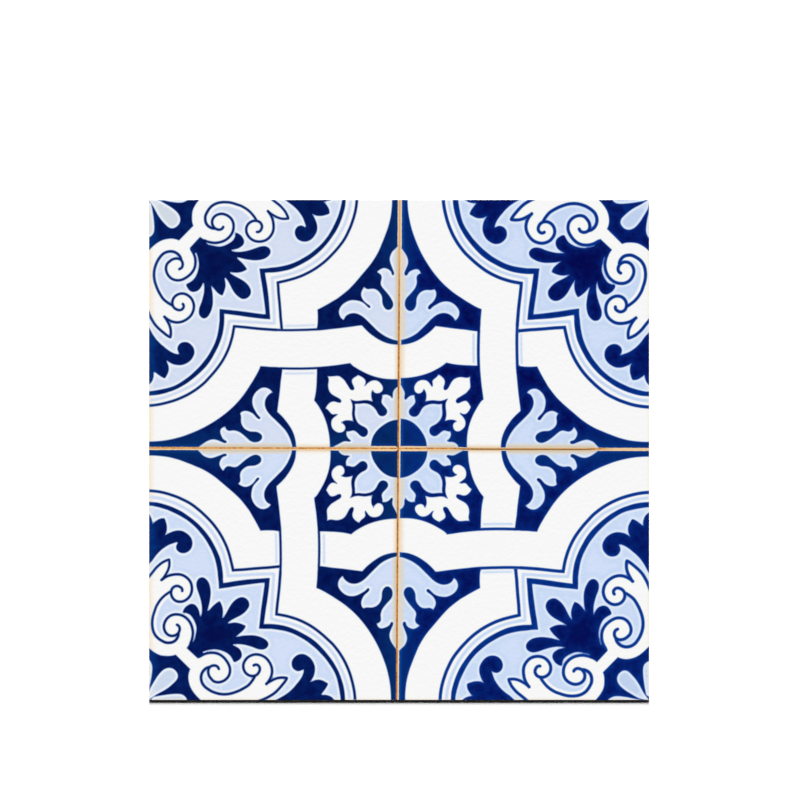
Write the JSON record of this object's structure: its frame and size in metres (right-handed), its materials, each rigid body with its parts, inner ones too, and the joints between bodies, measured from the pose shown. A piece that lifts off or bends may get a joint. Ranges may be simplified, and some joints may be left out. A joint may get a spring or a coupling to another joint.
{
  "type": "self-adhesive vinyl tile",
  "caption": "Thin square self-adhesive vinyl wall tile with a flat printed face, lying on the release liner that covers its adhesive back.",
  "frame": {"origin": "centre of the liner's underside, where the tile lies on a surface", "axes": "+Z out of the printed face, X and Y along the sides of the square"},
  "size_m": [0.1524, 0.1524, 0.0003],
  "materials": {
    "printed_vinyl": "smooth printed PVC film with a satin clear wear layer",
    "liner_paper": "smooth siliconed paper"
  },
  "bodies": {
    "root": {"vinyl_film": "printed_vinyl", "release_liner": "liner_paper"}
  },
  "joints": []
}
